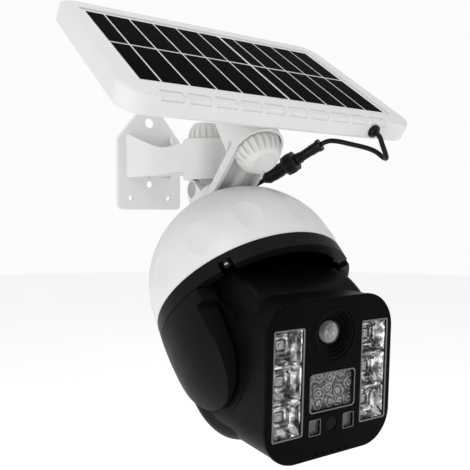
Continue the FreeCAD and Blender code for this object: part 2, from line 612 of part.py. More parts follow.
def yoke_frame():
    table = cyl(60.6, TURNTABLE_BOTTOM, TURNTABLE_TOP)
    end = AXLE_DROP + ARM_HALF_Y
    arms = [tongue(ARM_HALF_Y, 0, end, *sorted((s * (ARM_IN + 1.4), s * ARM_OUT)), TURNTABLE_TOP)
            for s in (-1, 1)]
    hub = cyl(9.0, TURNTABLE_BOTTOM - 2.5, TURNTABLE_BOTTOM + 0.1)
    holes = [cyl(2.52, 0, 20), xrod(5.05, -60, -50, 0, -AXLE_DROP), xrod(4.4, 50, 60, 0, -AXLE_DROP),
             block(-14, 14, 26, 46, 0, 20), block(-14, 14, -46, -26, 0, 20)]
    holes += [xrod(1.3, x, x + 10, y, z) for x in (-60, 50) for y, z in CHEEK_BOSSES]
    return fuse(table, hub, *arms).cut(holes)


def mirror_x(shape):
    return shape.mirror(V(), V(1, 0, 0))


def yoke_parts():
    save("yoke_frame", yoke_frame(), DOME)
    cover = cheek_cover()
    save("right_cheek_cover", cover, DOME)
    save("left_cheek_cover", mirror_x(cover), DOME)
    liner = cheek_liner()
    save("cheek_liners", [liner, mirror_x(liner)], DOME)
    motor = fuse(xrod(10.5, ARM_OUT, ARM_OUT + 5.0, 0, -AXLE_DROP),
                 xrod(4.35, ARM_IN + 1.4, ARM_OUT + 0.3, 0, -AXLE_DROP))
    save("tilt_motor", motor.cut(xrod(2.55, ARM_IN, ARM_OUT + 4, 0, -AXLE_DROP)), DOME)
    screws = []
    for y, z in CHEEK_BOSSES:
        seat = frame(V(ARM_IN + 1.4, y, z), V(-1, 0, 0), V(0, 1, 0))
        screw = moved(pan_screw(1.15, 8.0, 2.2, 1.0).common(cyl(3, -9, 0.28)), seat)
        screws += [screw, mirror_x(screw)]
    save("cheek_screws", screws, DOME)


# ---------------------------------------------------------------- camera head

def face_outline(inset, y0, y1):
    return upright_slab(-HEAD_HALF + inset, HEAD_HALF - inset, FACE_BOTTOM + inset, FACE_TOP - inset,
                        y0, y1, FACE_CORNER - inset)


def head_shell():
    back = FACE_FRONT + FACE_THICKNESS
    barrel = round_edges(xrod(BARREL_HEAD_R, -HEAD_SIDE, HEAD_SIDE), 8.5, lambda e: len(e.Vertexes) == 1)
    box = face_outline(0.5, back, 0)
    ridges = []
    for side in (-1, 1):
        x0, x1 = sorted((side * (HEAD_SIDE - 4), side * HEAD_RIDGE))
        ridges.append(xrod(36.5, x0, x1).cut(xrod(32.0, x0 - 9, x1 + 9)))
        x0, x1 = sorted((side * (HEAD_SIDE - 6), side * (HEAD_RIDGE - 0.2)))
        ridges.append(xrod(11.0, x0, x1))
    outer = fuse(barrel, box, *ridges)
    inner_barrel = xrod(BARREL_HEAD_R - HEAD_WALL, -HEAD_SIDE + HEAD_WALL, HEAD_SIDE - HEAD_WALL)
    inner_barrel = round_edges(inner_barrel, 6.0, lambda e: len(e.Vertexes) == 1)
    inner_box = face_outline(0.5 + HEAD_WALL, back - 1, -4)
    stub = [xrod(11.0, -HEAD_SIDE + 0.5, -36), xrod(11.0, 36, HEAD_SIDE - 0.5)]
    hollow = fuse(inner_barrel, inner_box).cut(stub)
    return outer.cut(hollow).cut([xrod(5.0, -60, -38), xrod(2.52, 38, 60)])


def window_slab(x0, x1, z0, z1, y0, y1, corner, gap=0.0):
    return upright_slab(x0 + gap, x1 - gap, z0 + gap, z1 - gap, y0, y1, corner)


def faceplate():
    back = FACE_FRONT + FACE_THICKNESS
    plate = face_outline(0, FACE_FRONT, back)
    plate = round_edges(plate, 1.4, lambda e: e.BoundBox.YMax < FACE_FRONT + 0.01)
    cuts = []
    for side in (-1, 1):
        x0, x1 = sorted((side * WINDOW_IN, side * WINDOW_OUT))
        cuts.append(window_slab(x0, x1, WINDOW_BOTTOM, WINDOW_TOP, FACE_FRONT - 1, back + 1, 1.5))
        x0, x1 = sorted((side * SMALL_WINDOW[0], side * SMALL_WINDOW[1]))
        cuts.append(window_slab(x0, x1, SMALL_WINDOW[2], SMALL_WINDOW[3], FACE_FRONT - 1, back + 1, 0.8))
    cuts.append(window_slab(*CENTRE_WINDOW, FACE_FRONT - 1, back + 1, 2.4))
    cuts.append(yrod(LENS_RECESS_R, FACE_FRONT - 1, back + 1, 0, LENS_Z))
    cuts.append(yrod(SENSOR_R, FACE_FRONT - 1, back + 1, 0, SENSOR_Z))
    cuts += [yrod(0.8, FACE_FRONT - 1, back + 1, VENT_PITCH * i, VENT_Z) for i in range(-2, 3)]
    cuts.append(yrod(0.6, FACE_FRONT - 1, back + 1, MIC_X, MIC_Z))
    return plate.cut(cuts)


def reflector(side):
    """Block of three stacked square cups, each with four sloping mirror faces."""
    x0, x1 = sorted((side * (WINDOW_IN + 0.3), side * (WINDOW_OUT - 0.3)))
    z0, z1 = WINDOW_BOTTOM + 0.3, WINDOW_TOP - 0.3
    front = FACE_FRONT + 1.7
    body = upright_slab(x0, x1, z0, z1, front, front + REFLECTOR_DEPTH, 1.3)
    step = (z1 - z0) / 3
    middle = (x0 + x1) / 2
    wide = (x1 - x0) / 2 - 0.7
    cups = []
    for i in range(3):
        zc = z0 + step * (i + 0.5)
        mouth = Part.makePolygon([V(middle + a * wide, front - 0.01, zc + b * (step / 2 - 0.5))
                                  for a, b in ((-1, -1), (1, -1), (1, 1), (-1, 1), (-1, -1))])
        base = Part.makePolygon([V(middle + a * 3.6, front + REFLECTOR_DEPTH + 0.01, zc + b * 3.6)
                                 for a, b in ((-1, -1), (1, -1), (1, 1), (-1, 1), (-1, -1))])
        cups.append(Part.makeLoft([mouth, base], True, True))
    return body.cut(cups), [V(middle, front + REFLECTOR_DEPTH, z0 + step * (i + 0.5)) for i in range(3)]


def lens_bezel():
    """Stepped funnel that falls from the faceplate's hole to the lens."""
    front = -FACE_FRONT
    rows = [(8.7, front - 8.5), (19.0, front - 8.5), (19.0, front - FACE_THICKNESS - 0.1),
            (LENS_RECESS_R - 0.1, front - FACE_THICKNESS - 0.1), (LENS_RECESS_R - 0.1, front - 0.5),
            (14.6, front - 0.2), (14.0, front - 0.4), (13.4, front - 1.6), (12.1, front - 1.8),
            (11.6, front - 3.2), (10.2, front - 3.5), (9.7, front - 4.6), (8.7, front - 4.8)]
    return turned(rows)


def camera_lens():
    """Front lens element: a dome that sits just inside the face."""
    front = -FACE_FRONT
    return cyl(8.6, front - 12.0, front).common(Part.makeSphere(11.2, V(0, 0, front - 1.0 - 11.2)))


def head_parts():
    back = FACE_FRONT + FACE_THICKNESS
    save("head_shell", head_shell(), HEAD)
    save("faceplate", faceplate(), HEAD)
    bezel_place = HEAD.multiply(LENS_AXIS)
    save("lens_bezel", lens_bezel(), bezel_place)
    save("camera_lens", camera_lens(), bezel_place)
    front = -FACE_FRONT
    barrel = moved(fuse(cyl(8.6, front - 22, front - 12.1), cyl(7.0, front - 26, front - 21.9)), LENS_AXIS)
    sensor = block(-16, 16, FACE_FRONT + 26.2, FACE_FRONT + 27.8, LENS_Z - 14, LENS_Z + 14)
    holder = block(-9, 9, FACE_FRONT + 24.0, FACE_FRONT + 26.3, LENS_Z - 9, LENS_Z + 9)
    board = fuse(sensor, holder.cut(yrod(7.05, FACE_FRONT + 20, FACE_FRONT + 26.05, 0, LENS_Z)))
    save("camera_module", [barrel, board], HEAD)
    emitters = []
    windows = []
    reflectors = []
    for side in (-1, 1):
        x0, x1 = sorted((side * WINDOW_IN, side * WINDOW_OUT))
        windows.append(window_slab(x0, x1, WINDOW_BOTTOM, WINDOW_TOP,
                                   FACE_FRONT + 0.2, FACE_FRONT + 1.6, 1.4, 0.1))
        cups, seats = reflector(side)
        reflectors.append(cups)
        emitters += [fuse(block(p.x - 2.5, p.x + 2.5, p.y - 1.2, p.y, p.z - 2.5, p.z + 2.5),
                          yrod(1.8, p.y - 1.7, p.y - 1.1, p.x, p.z)) for p in seats]
    save("light_windows", windows, HEAD)
    save("light_reflectors", reflectors, HEAD)
    save("floodlight_leds", emitters, HEAD)
    seat = FACE_FRONT + 1.7 + REFLECTOR_DEPTH
    board = fuse(block(-45, -22, seat, seat + 1.6, -39, 25), block(22, 45, seat, seat + 1.6, -39, 25),
                 block(-23, 23, seat, seat + 1.6, -39, -3))
    save("light_board", board, HEAD)
    can = fuse(yrod(4.6, seat - 4.5, seat, 0, -14.5), yrod(5.2, seat - 0.8, seat, 0, -14.5))
    save("motion_sensor", can, HEAD)
    panes = [window_slab(*CENTRE_WINDOW, FACE_FRONT + 0.15, FACE_FRONT + 2.6, 2.3, 0.1)]
    diodes = []
    for side in (-1, 1):
        x0, x1 = sorted((side * SMALL_WINDOW[0], side * SMALL_WINDOW[1]))
        panes.append(window_slab(x0, x1, SMALL_WINDOW[2], SMALL_WINDOW[3],
                                 FACE_FRONT + 0.15, FACE_FRONT + 2.0, 0.7, 0.1))
        middle = (x0 + x1) / 2
        height = (SMALL_WINDOW[2] + SMALL_WINDOW[3]) / 2
        diodes.append(fuse(yrod(2.5, seat - 6.5, seat, middle, height),
                           Part.makeSphere(2.5, V(middle, seat - 6.5, height))))
    save("front_windows", panes, HEAD)
    save("infrared_leds", diodes, HEAD)
    save("light_sensor", fuse(yrod(SENSOR_R - 0.1, FACE_FRONT + 0.5, back, 0, SENSOR_Z),
                              yrod(SENSOR_R + 1.0, back, back + 1.5, 0, SENSOR_Z)), HEAD)
    speaker = fuse(upright_slab(-17, 17, FACE_BOTTOM + 3.2, -43.0, back + 0.2, back + 7.0, 4.0),
                   upright_slab(-13, 13, FACE_BOTTOM + 4.2, -44.0, back + 6.9, back + 9.5, 3.0))
    save("speaker", speaker, HEAD)
    board = fuse(block(-34, 34, -22, -20.4, -36, 20), block(-10, 6, -20.5, -17.8, -20, -4),
                 block(12, 26, -20.5, -18.4, -26, -14), block(-28, -14, -20.5, -15.5, 4, 14))
    save("head_board", board, HEAD)
    left_axle = fuse(xrod(4.98, -ARM_OUT - 1.5, -38.5), xrod(7.4, -ARM_OUT - 2.9, -ARM_OUT - 0.3))
    save("head_axles", [left_axle, xrod(2.5, 38.5, ARM_OUT + 3.8)], HEAD)


# ---------------------------------------------------------------- solar panel

def panel_outline(inset, z0, z1):
    half = PANEL_LENGTH / 2 - inset
    return slab(-half, half, PANEL_NEAR + inset, PANEL_FAR - inset, z0, z1, max(PANEL_CORNER - inset, 2.0))


def panel_frame():
    body = panel_outline(0, -PANEL_DEPTH, PANEL_LIP)
    body = round_edges(body, 2.2, lambda e: e.BoundBox.ZMin > PANEL_LIP - 0.01)
    body = body.makeChamfer(2.0, [e for e in body.Edges if e.BoundBox.ZMax < -PANEL_DEPTH + 0.01])
    long_half, wide_half = LAMINATE[0] / 2 + 0.4, LAMINATE[1] / 2 + 0.4
    inner_long, inner_wide = CELL_AREA[0] / 2 - 2, CELL_AREA[1] / 2 - 2
    floor = -LAMINATE_DEPTH - CELL_DEPTH
    cuts = [slab(-long_half, long_half, -wide_half, wide_half, floor, PANEL_LIP + 1, 2.0),
            slab(-inner_long, inner_long, -inner_wide, inner_wide, floor - 4, floor + 1, 4.0),
            panel_outline(PANEL_WALL + 2.0, -PANEL_DEPTH - 1, floor - 2.0)]
    pitch = (POCKET_END - POCKET_START) / POCKETS
    for i in range(POCKETS):
        u0 = POCKET_START + i * pitch
        for depth, drop in ((6.5, 0.7), (0.7, 4.0)):
            cuts.append(block(u0 + 1.2, u0 + pitch - 2.6, PANEL_NEAR - 1, PANEL_NEAR + depth,
                              PANEL_LIP - drop, PANEL_LIP + 1))
    cuts.append(rod(3.6, V(GLAND_U, PANEL_NEAR - 5, GLAND_N), V(GLAND_U, PANEL_NEAR + 9, GLAND_N)))
    return body.cut(cuts)


def cell_widths():
    """Strip widths along the panel: end strips and the two in the middle are narrower."""
    shares = [END_CELL_SHARE if i in (0, CELL_COLUMNS // 2 + 1) else 1.0 for i in range(CELL_COLUMNS)]
    room = CELL_AREA[0] - CELL_GAP * (CELL_COLUMNS - 1)
    return [room * s / sum(shares) for s in shares]


def solar_cells():
    cells = []
    depth = (CELL_AREA[1] - CELL_GAP) / 2
    u = -CELL_AREA[0] / 2
    for width in cell_widths():
        for v in (-CELL_AREA[1] / 2, CELL_GAP / 2):
            cells.append(block(u, u + width, v, v + depth, -CELL_DEPTH, 0))
        u += width + CELL_GAP
    return cells


def panel_foot():
    """Wedge under the panel: round about the clamp axis, with a skirt over the paddle's end."""
    reach = 62.0
    body = cyl(FOOT_R, FOOT_BASE, reach)
    skirt = ring(FOOT_R, SKIRT_INNER_R, -1.5, FOOT_BASE + 0.1)
    span = math.radians(SKIRT_HALF_ANGLE)
    side = V(40 * math.sin(span), -40 * math.cos(span), -3)
    wedge = prism([V(0, 0, -3), V(-side.x, side.y, -3), V(-60, -60, -3), V(60, -60, -3), side], V(0, 0, 20))
    rear = prism([V(-40, 10.0, FOOT_BASE), V(-40, 60, FOOT_BASE), V(-40, 60, 120), V(-40, 10.0 - 27.0, 120)],
                 V(80, 0, 0))
    foot = moved(fuse(body.cut(rear), skirt.common(wedge)), CLAMP)
    above = moved(block(-200, 200, -200, 200, -PANEL_DEPTH - 0.05 - FLANGE, 200), PANEL)
    foot = foot.cut(above)
    flange = moved(slab(-30, 30, -38, 24, -PANEL_DEPTH - 0.05 - FLANGE, -PANEL_DEPTH - 0.05, 6), PANEL)
    slot_top = BOLT_SEAT + 5.6
    slots = fuse(cyl(M8 + 0.1, 0, slot_top), block(-M8 - 0.1, M8 + 0.1, 0, 40, 0, slot_top),
                 hexagon(13.2, BOLT_SEAT, slot_top), block(-7.7, 7.7, 0, 40, BOLT_SEAT, slot_top))
    tools = [moved(slots, CLAMP)]
    tools += [moved(cyl(1.9, -PANEL_DEPTH - 9, 0, x, y), PANEL) for x, y in FOOT_SCREWS]
    body = fuse(foot, flange).cut(tools)
    return max(body.Solids, key=lambda s: s.Volume)


def panel_parts():
    save("panel_frame", panel_frame(), PANEL)
    top = -CELL_DEPTH
    save("solar_laminate", slab(-LAMINATE[0] / 2, LAMINATE[0] / 2, -LAMINATE[1] / 2, LAMINATE[1] / 2,
                                top - LAMINATE_DEPTH, top, 1.6), PANEL)
    save("solar_cells", solar_cells(), PANEL)
    back = panel_outline(PANEL_WALL + 2.3, -PANEL_DEPTH, -PANEL_DEPTH + 2.0)
    posts = [cyl(2.6, -PANEL_DEPTH + 1.9, -PANEL_DEPTH + 7, x, y) for x, y in FOOT_SCREWS]
    back = fuse(back, *posts)
    holes = [cyl(1.2, -PANEL_DEPTH - 1, -PANEL_DEPTH + 6, x, y) for x, y in FOOT_SCREWS]
    save("panel_back", back.cut(holes), PANEL)
    flip = FreeCAD.Rotation(V(1, 0, 0), 180)
    seat = -PANEL_DEPTH - 0.05 - FLANGE
    save("foot_screws", [moved(pan_screw(1.15, 9.0, 3.2, 1.9), FreeCAD.Placement(V(x, y, seat), flip))
                         for x, y in FOOT_SCREWS], PANEL)
    save("panel_foot", panel_foot())
    bolt = moved(hex_bolt(M8, BOLT_SEAT + 8.5, 13.0, 5.3),
                 FreeCAD.Placement(V(0, 0, BOLT_SEAT), FreeCAD.Rotation(V(1, 0, 0), 180)))
    save("panel_bolt", bolt, CLAMP)
    save("clamp_washer", ring(15.5, M8 + 0.3, PADDLE_DEPTH, FOOT_BASE), CLAMP)
    under = CLAMP.multiply(FreeCAD.Placement(V(0, 0, -0.5), FreeCAD.Rotation(V(1, 0, 0), 180)))
    save("panel_knob", fluted_knob(16.7, 9.6, 13.5, 20, M8 + 0.4, 6.6, 9.5), under)
    save("panel_knob_insert", knob_insert(6.55, M8 + RUNNING_GAP, 9.4), under)
    gland = fuse(rod(4.9, V(GLAND_U, PANEL_NEAR, GLAND_N), V(GLAND_U, PANEL_NEAR - 1.2, GLAND_N)),
                 Part.makeCone(4.3, 2.9, 2.1, V(GLAND_U, PANEL_NEAR - 1.1, GLAND_N), V(0, -1, 0)),
                 rod(3.5, V(GLAND_U, PANEL_NEAR + 7, GLAND_N), V(GLAND_U, PANEL_NEAR, GLAND_N)))
    bore = rod(LEAD_D / 2, V(GLAND_U, PANEL_NEAR - 9, GLAND_N), V(GLAND_U, PANEL_NEAR + 9, GLAND_N))
    save("panel_gland", gland.cut(bore), PANEL)


# ---------------------------------------------------------------- leads

def lead_path(points):
    """Straight runs joined by tangent arcs, each as large as its two runs allow."""
    edges = []
    start = points[0]
    radii = []
    for before, corner, after in zip(points, points[1:], points[2:]):
        u = (before - corner).normalize()
        w = (after - corner).normalize()
        turn = math.pi - u.getAngle(w)
        shorter = min((before - corner).Length, (after - corner).Length)
        reach = 0.45 * shorter
        radius = reach / math.tan(turn / 2)
        a = corner + u * reach
        b = corner + w * reach
        bisector = (u + w).normalize()
        middle = corner + bisector * (radius / math.cos(turn / 2) - radius)
        edges.append(Part.LineSegment(start, a).toShape())
        edges.append(Part.Arc(a, middle, b).toShape())
        start = b
        radii.append(radius)
    edges.append(Part.LineSegment(start, points[-1]).toShape())
    return Part.Wire(edges), radii


def lead(name, points):
    path, radii = lead_path(points)
    section = Part.Wire(Part.Circle(points[0], points[1] - points[0], LEAD_D / 2).toShape())
    tube = path.makePipeShell([section], True, False)
    expected = math.pi * LEAD_D ** 2 / 4 * path.Length
    print(name, "length %.1f" % path.Length, "volume ratio %.3f" % (tube.Volume / expected),
          "radii", " ".join("%.1f" % r for r in radii))
    save(name, tube)


def connector_parts():
    """Socket, coupling nut and plug on one straight line."""
    reach = CONNECTOR_END - CONNECTOR_TAIL
    axis = frame(CONNECTOR_TAIL, reach)
    nut_back, nut_front = [reach.Length * share for share in NUT_SHARE]
    save("connector_socket", fuse(cyl(CONNECTOR_R, 0, nut_back), cyl(CONNECTOR_R + 0.9, 0, 2.6),
                                  cyl(CONNECTOR_R + 0.5, nut_back - 4.0, nut_back)), axis)
    save("connector_nut", fuse(hexagon(NUT_R * 1.76, nut_back, nut_front),
                               cyl(NUT_R, nut_back + 2.5, nut_front - 2.0)), axis)
    tip = Part.makeCone(5.0, 2.6, 4.0, V(0, 0, reach.Length - 4.0))
    save("connector_plug", fuse(cyl(5.0, nut_front, reach.Length - 4.0), tip), axis)


def lead_parts():
    connector_parts()
    gland_tip = PANEL.multVec(V(GLAND_U, PANEL_NEAR - 3.2, GLAND_N))
    inlet_tip = DOME.multVec(INLET * (DOME_R + 12.2))
    outward = (CONNECTOR_TAIL - CONNECTOR_END).normalize()
    lead("panel_lead", [gland_tip] + PANEL_LEAD + [CONNECTOR_TAIL + outward * 5.4, CONNECTOR_TAIL])
    lead("camera_lead", [CONNECTOR_END, CONNECTOR_END - outward * 5.0] + CAMERA_LEAD + [inlet_tip])


os.makedirs("parts", exist_ok=True)
save("wall_plate", wall_plate())
save("bracket_arm", bracket_arm())
swivel_parts()
tilt_parts()
dome_parts()
yoke_parts()
head_parts()
panel_parts()
lead_parts()
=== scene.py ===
import bpy
import bmesh
import math
from mathutils import Matrix, Vector


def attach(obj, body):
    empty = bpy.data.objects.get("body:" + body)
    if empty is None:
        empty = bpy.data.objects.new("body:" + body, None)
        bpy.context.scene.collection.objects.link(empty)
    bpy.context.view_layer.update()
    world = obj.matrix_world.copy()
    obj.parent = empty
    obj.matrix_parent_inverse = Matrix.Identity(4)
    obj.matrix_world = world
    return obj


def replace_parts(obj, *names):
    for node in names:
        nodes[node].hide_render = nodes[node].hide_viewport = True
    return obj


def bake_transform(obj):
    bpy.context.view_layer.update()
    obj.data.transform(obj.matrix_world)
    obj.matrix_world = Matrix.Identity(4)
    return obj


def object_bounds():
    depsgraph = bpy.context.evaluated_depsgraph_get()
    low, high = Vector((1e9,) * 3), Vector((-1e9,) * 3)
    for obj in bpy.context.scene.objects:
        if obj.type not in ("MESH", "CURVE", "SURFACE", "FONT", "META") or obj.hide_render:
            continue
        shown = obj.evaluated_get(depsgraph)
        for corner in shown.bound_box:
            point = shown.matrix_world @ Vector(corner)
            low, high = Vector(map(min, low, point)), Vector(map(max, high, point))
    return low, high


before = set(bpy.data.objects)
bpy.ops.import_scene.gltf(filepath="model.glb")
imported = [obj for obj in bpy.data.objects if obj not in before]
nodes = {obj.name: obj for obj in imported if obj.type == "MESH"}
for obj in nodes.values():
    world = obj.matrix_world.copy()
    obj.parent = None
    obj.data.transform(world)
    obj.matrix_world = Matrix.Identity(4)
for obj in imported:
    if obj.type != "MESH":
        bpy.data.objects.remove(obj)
cad_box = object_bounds()
scene = bpy.context.scene

# ------------------------------------------------------------------ local frames, as in the CAD model
TILT = math.radians(35.4)
LEAN = math.radians(41.1)
PITCH = math.radians(2.3)
DOME_CENTRE = Vector((0.0, -0.166, -0.0946))
DOME_R = 0.0708


def local_frame(origin, z_axis):
    """Matrix of a frame whose X is the world's X."""
    x = Vector((1, 0, 0))
    z = Vector(z_axis).normalized()
    y = z.cross(x)
    return Matrix.Translation(origin) @ Matrix((x, y, z)).transposed().to_4x4()


POLE = Vector((0, math.sin(LEAN), math.cos(LEAN)))
DOME = local_frame(DOME_CENTRE, POLE)
HEAD = local_frame(DOME_CENTRE - 0.052 * POLE, (0, -math.sin(PITCH), math.cos(PITCH)))
PANEL = local_frame(Vector((0, -0.1565, 0.066)), (0, -math.sin(TILT), math.cos(TILT)))
CONNECTOR_TAIL = Vector((0.047, -0.192, 0.0065))
CONNECTOR_END = Vector((0.0255, -0.1515, -0.018))

# ------------------------------------------------------------------ materials


class Nodes:
    """Small helper that adds and joins shader nodes."""

    def __init__(self, name):
        self.material = bpy.data.materials.new(name)
        self.material.use_nodes = True
        self.tree = self.material.node_tree
        self.shader = self.tree.nodes["Principled BSDF"]
        self.coords = self.tree.nodes.new("ShaderNodeTexCoord").outputs["Object"]

    def add(self, kind, **values):
        node = self.tree.nodes.new(kind)
        for key, value in values.items():
            if hasattr(node, key):
                setattr(node, key, value)
            else:
                node.inputs[key].default_value = value
        return node

    def link(self, source, target):
        self.tree.links.new(source, target)

    def noise(self, scale, detail=3.0, rough=0.5, source=None):
        node = self.add("ShaderNodeTexNoise")
        node.inputs["Scale"].default_value = scale
        node.inputs["Detail"].default_value = detail
        node.inputs["Roughness"].default_value = rough
        self.link(source or self.coords, node.inputs["Vector"])
        return node.outputs["Fac"]

    def ramp(self, source, stops):
        node = self.add("ShaderNodeValToRGB")
        elements = node.color_ramp.elements
        while len(elements) < len(stops):
            elements.new(0.5)
        for element, (place, colour) in zip(elements, stops):
            element.position = place
            element.color = tuple(colour) + (1.0,) if len(colour) == 3 else tuple(colour)
        self.link(source, node.inputs["Fac"])
        return node.outputs["Color"]

    def remap(self, source, low, high, to_low, to_high):
        node = self.add("ShaderNodeMapRange")
        self.link(source, node.inputs["Value"])
        for key, value in (("From Min", low), ("From Max", high), ("To Min", to_low), ("To Max", to_high)):
            node.inputs[key].default_value = value
        return node.outputs["Result"]

    def math(self, operation, a, b=None):
        node = self.add("ShaderNodeMath", operation=operation)
        for i, value in enumerate((a, b)):
            if value is None:
                continue
            if isinstance(value, (int, float)):
                node.inputs[i].default_value = value
            else:
                self.link(value, node.inputs[i])
        return node.outputs["Value"]

    def mix(self, factor, a, b):
        node = self.add("ShaderNodeMix", data_type="RGBA")
        colour_inputs = [s for s in node.inputs if s.type == "RGBA"]
        self.link(factor, node.inputs[0])
        for socket, value in zip(colour_inputs, (a, b)):
            if isinstance(value, (tuple, list)):
                socket.default_value = tuple(value) + (1.0,)
            else:
                self.link(value, socket)
        return [s for s in node.outputs if s.type == "RGBA"][0]

    def in_frame(self, matrix):
        """Object coordinates turned into one of the local frames, as separate X, Y and Z."""
        turned = self.add("ShaderNodeVectorRotate", rotation_type="EULER_XYZ", invert=True)
        moved = self.add("ShaderNodeVectorMath", operation="SUBTRACT")
        self.link(self.coords, moved.inputs[0])
        moved.inputs[1].default_value = matrix.translation
        self.link(moved.outputs["Vector"], turned.inputs["Vector"])
        turned.inputs["Rotation"].default_value = matrix.to_euler()
        split = self.add("ShaderNodeSeparateXYZ")
        self.link(turned.outputs["Vector"], split.inputs["Vector"])
        return split.outputs["X"], split.outputs["Y"], split.outputs["Z"]

    def bump(self, height, strength, distance=0.0003, edge=0.0):
        node = self.add("ShaderNodeBump")
        node.inputs["Strength"].default_value = strength
        node.inputs["Distance"].default_value = distance
        self.link(height, node.inputs["Height"])
        if edge:
            soft = self.add("ShaderNodeBevel", samples=4)
            soft.inputs["Radius"].default_value = edge
            self.link(soft.outputs["Normal"], node.inputs["Normal"])
        self.link(node.outputs["Normal"], self.shader.inputs["Normal"])

    def tint(self, source, stops, socket="Base Color"):
        self.link(self.ramp(source, stops), self.shader.inputs[socket])

    def gloss(self, source, low, high):
        """Roughness that follows a noise's usual range."""
        self.link(self.remap(source, 0.3, 0.7, low, high), self.shader.inputs["Roughness"])

    def set(self, **values):
        for key, value in values.items():
            self.shader.inputs[key.replace("_", " ")].default_value = value


def moulded(name, colour, rough, spread, grain, bump, edge=0.0004, coat=0.0, coat_rough=0.2, shine=0.5):
    """Moulded plastic: slight tone drift, a fine spark-eroded grain and uneven gloss."""
    n = Nodes(name)
    drift = n.noise(22.0, 4.0, 0.6)
    dark = tuple(c * (1 - spread) for c in colour)
    light = tuple(min(1.0, c * (1 + spread)) for c in colour)
    n.tint(drift, [(0.32, dark), (0.68, light)])
    fine = n.noise(grain, 2.0, 0.6)
    cloud = n.noise(60.0, 3.0, 0.55)
    n.gloss(cloud, rough * 0.88, rough * 1.12)
    n.bump(fine, bump, 0.0002, edge)
    n.set(Coat_Weight=coat, Coat_Roughness=coat_rough, Specular_IOR_Level=shine)
    return n


def metal(name, colour, rough):
    """Plated or drawn metal with a fine grain and darker patches."""
    n = Nodes(name)
    streak = n.noise(2600.0, 3.0, 0.6)
    patch = n.noise(180.0, 3.0, 0.6)
    n.tint(patch, [(0.3, tuple(c * 0.85 for c in colour)), (0.7, colour)])
    n.gloss(streak, rough * 0.7, rough * 1.3)
    n.bump(streak, 0.1, 0.0001)
    n.set(Metallic=1.0)
    return n


WHITE = (0.72, 0.72, 0.71)
white = moulded("white_moulded", WHITE, 0.42, 0.018, 1400.0, 0.10, 0.0002, 0.10, 0.3, 0.4)
white_knob = moulded("white_knob", (0.72, 0.715, 0.70), 0.45, 0.02, 1400.0, 0.10)
black = moulded("black_moulded", (0.0060, 0.0060, 0.0066), 0.42, 0.15, 1800.0, 0.16, 0.0006, shine=0.06)
ring_black = moulded("ring_black", (0.0065, 0.0065, 0.0070), 0.40, 0.12, 1700.0, 0.16, 0.0006, shine=0.07)
head_black = moulded("head_black", (0.0030, 0.0030, 0.0033), 0.40, 0.15, 1900.0, 0.20, 0.0006, shine=0.05)
face_black = moulded("face_black", (0.0016, 0.0016, 0.0018), 0.34, 0.15, 1300.0, 0.08, 0.0003, shine=0.03)
inner_black = moulded("inner_black", (0.004, 0.004, 0.004), 0.6, 0.15, 1700.0, 0.15, 0.0, shine=0.1)
lead_black = moulded("lead_black", (0.004, 0.004, 0.004), 0.42, 0.2, 900.0, 0.2, 0.0, shine=0.18)
connector_black = moulded("connector_black", (0.004, 0.004, 0.004), 0.38, 0.15, 1200.0, 0.15, shine=0.2)
rubber = moulded("seal_rubber", (0.010, 0.010, 0.010), 0.65, 0.2, 1200.0, 0.2, 0.0)
washer = moulded("washer_grey", (0.10, 0.10, 0.10), 0.55, 0.1, 1200.0, 0.2, 0.0)
backing = moulded("backing_sheet", (0.78, 0.79, 0.79), 0.35, 0.02, 700.0, 0.05, 0.0)
board = moulded("board_green", (0.012, 0.085, 0.035), 0.38, 0.25, 400.0, 0.25, 0.0)
wrap = moulded("cell_wrap", (0.05, 0.26, 0.16), 0.32, 0.08, 500.0, 0.08, 0.0)
steel = metal("zinc_steel", (0.62, 0.62, 0.61), 0.30)
can = metal("motor_can", (0.45, 0.45, 0.45), 0.36)
brass = metal("brass", (0.72, 0.54, 0.25), 0.32)


def dome_material():
    """Glossy white outside; the shell's hollow is coloured near-black as painted shade."""
    n = moulded("dome_white", (0.70, 0.705, 0.70), 0.36, 0.015, 1100.0, 0.05, 0.0, 0.15, 0.2, 0.4)
    outside = n.shader.inputs["Base Color"].links[0].from_socket
    away = n.add("ShaderNodeVectorMath", operation="DISTANCE")
    n.link(n.coords, away.inputs[0])
    away.inputs[1].default_value = DOME_CENTRE
    # painted shade: points deeper than the shell's outer skin, round the dome's centre, turn near-black
    painted_inner_shade = n.math("LESS_THAN", away.outputs["Value"], DOME_R - 0.0018)
    n.link(n.mix(painted_inner_shade, outside, (0.006, 0.006, 0.006)), n.shader.inputs["Base Color"])
    return n


CELL_LENGTH, CELL_WIDTH, CELL_GAP = 0.200, 0.112, 0.001
COLUMNS = 11
SHARES = [0.72 if i in (0, COLUMNS // 2 + 1) else 1.0 for i in range(COLUMNS)]


def column_edges():
    """Places of the gaps' middles along the panel."""
    room = CELL_LENGTH - CELL_GAP * (COLUMNS - 1)
    edges = []
    u = -CELL_LENGTH / 2
    for share in SHARES:
        u += room * share / sum(SHARES) + CELL_GAP
        edges.append(u - CELL_GAP / 2)
    return edges[:-1]


